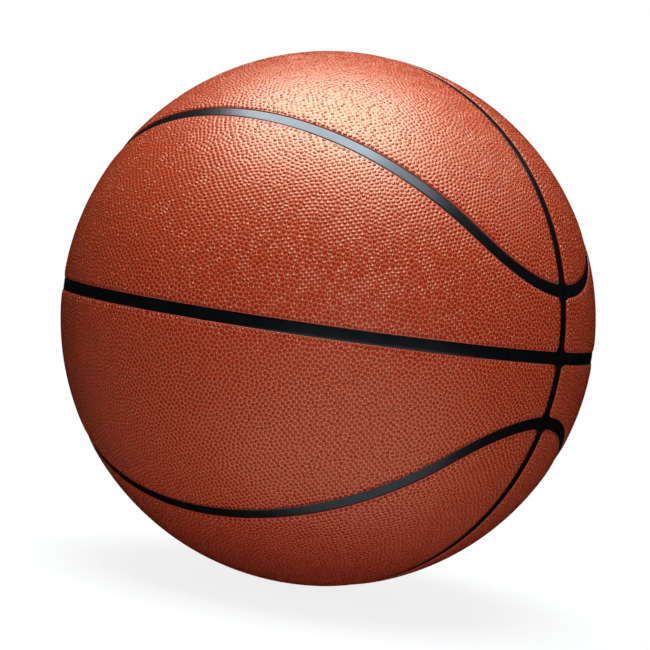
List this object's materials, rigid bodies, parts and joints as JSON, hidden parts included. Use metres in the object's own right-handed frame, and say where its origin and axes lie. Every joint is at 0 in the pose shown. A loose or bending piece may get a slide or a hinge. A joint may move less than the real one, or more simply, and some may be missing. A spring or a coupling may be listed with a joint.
{
  "type": "basketball",
  "caption": "Basketball with pebbled composite-leather cover panels, recessed black rubber channels and an inflation valve with a pull-out core.",
  "frame": {"origin": "centre of the ball", "axes": "+Z along the pole of the equator channel, +X through one of the two crossings of the equator and meridian channels, -Y out of the front of the ball; the valve is on the back, above the equator"},
  "size_m": [0.2382, 0.2384, 0.2384],
  "materials": {
    "cover_leather": "pebbled, satin, red-brown grain with lighter orange valleys",
    "pad_foam": "matte closed-cell foam",
    "carcass_rubber": "smooth satin",
    "winding_thread": "wound nylon thread",
    "bladder_rubber": "smooth matte",
    "valve_rubber": "moulded satin",
    "core_rubber": "moulded matte"
  },
  "bodies": {
    "ball": {"cover_front_upper_band": "cover_leather", "cover_front_upper_crown": "cover_leather", "cover_front_lower_band": "cover_leather", "cover_front_lower_crown": "cover_leather", "cover_back_upper_band": "cover_leather", "cover_back_upper_crown": "cover_leather", "cover_back_lower_band": "cover_leather", "cover_back_lower_crown": "cover_leather", "pad_front_upper_band": "pad_foam", "pad_front_upper_crown": "pad_foam", "pad_front_lower_band": "pad_foam", "pad_front_lower_crown": "pad_foam", "pad_back_upper_band": "pad_foam", "pad_back_upper_crown": "pad_foam", "pad_back_lower_band": "pad_foam", "pad_back_lower_crown": "pad_foam", "carcass": "carcass_rubber", "winding": "winding_thread", "bladder": "bladder_rubber", "valve_housing": "valve_rubber", "balance_patch": "bladder_rubber"},
    "core": {"valve_core": "core_rubber"}
  },
  "joints": [
    {"name": "valve_core_pull", "type": "slide", "parent": "ball", "child": "core", "axis": [0, 0.9239, 0.3827], "range_m": [0, 0.025]}
  ]
}
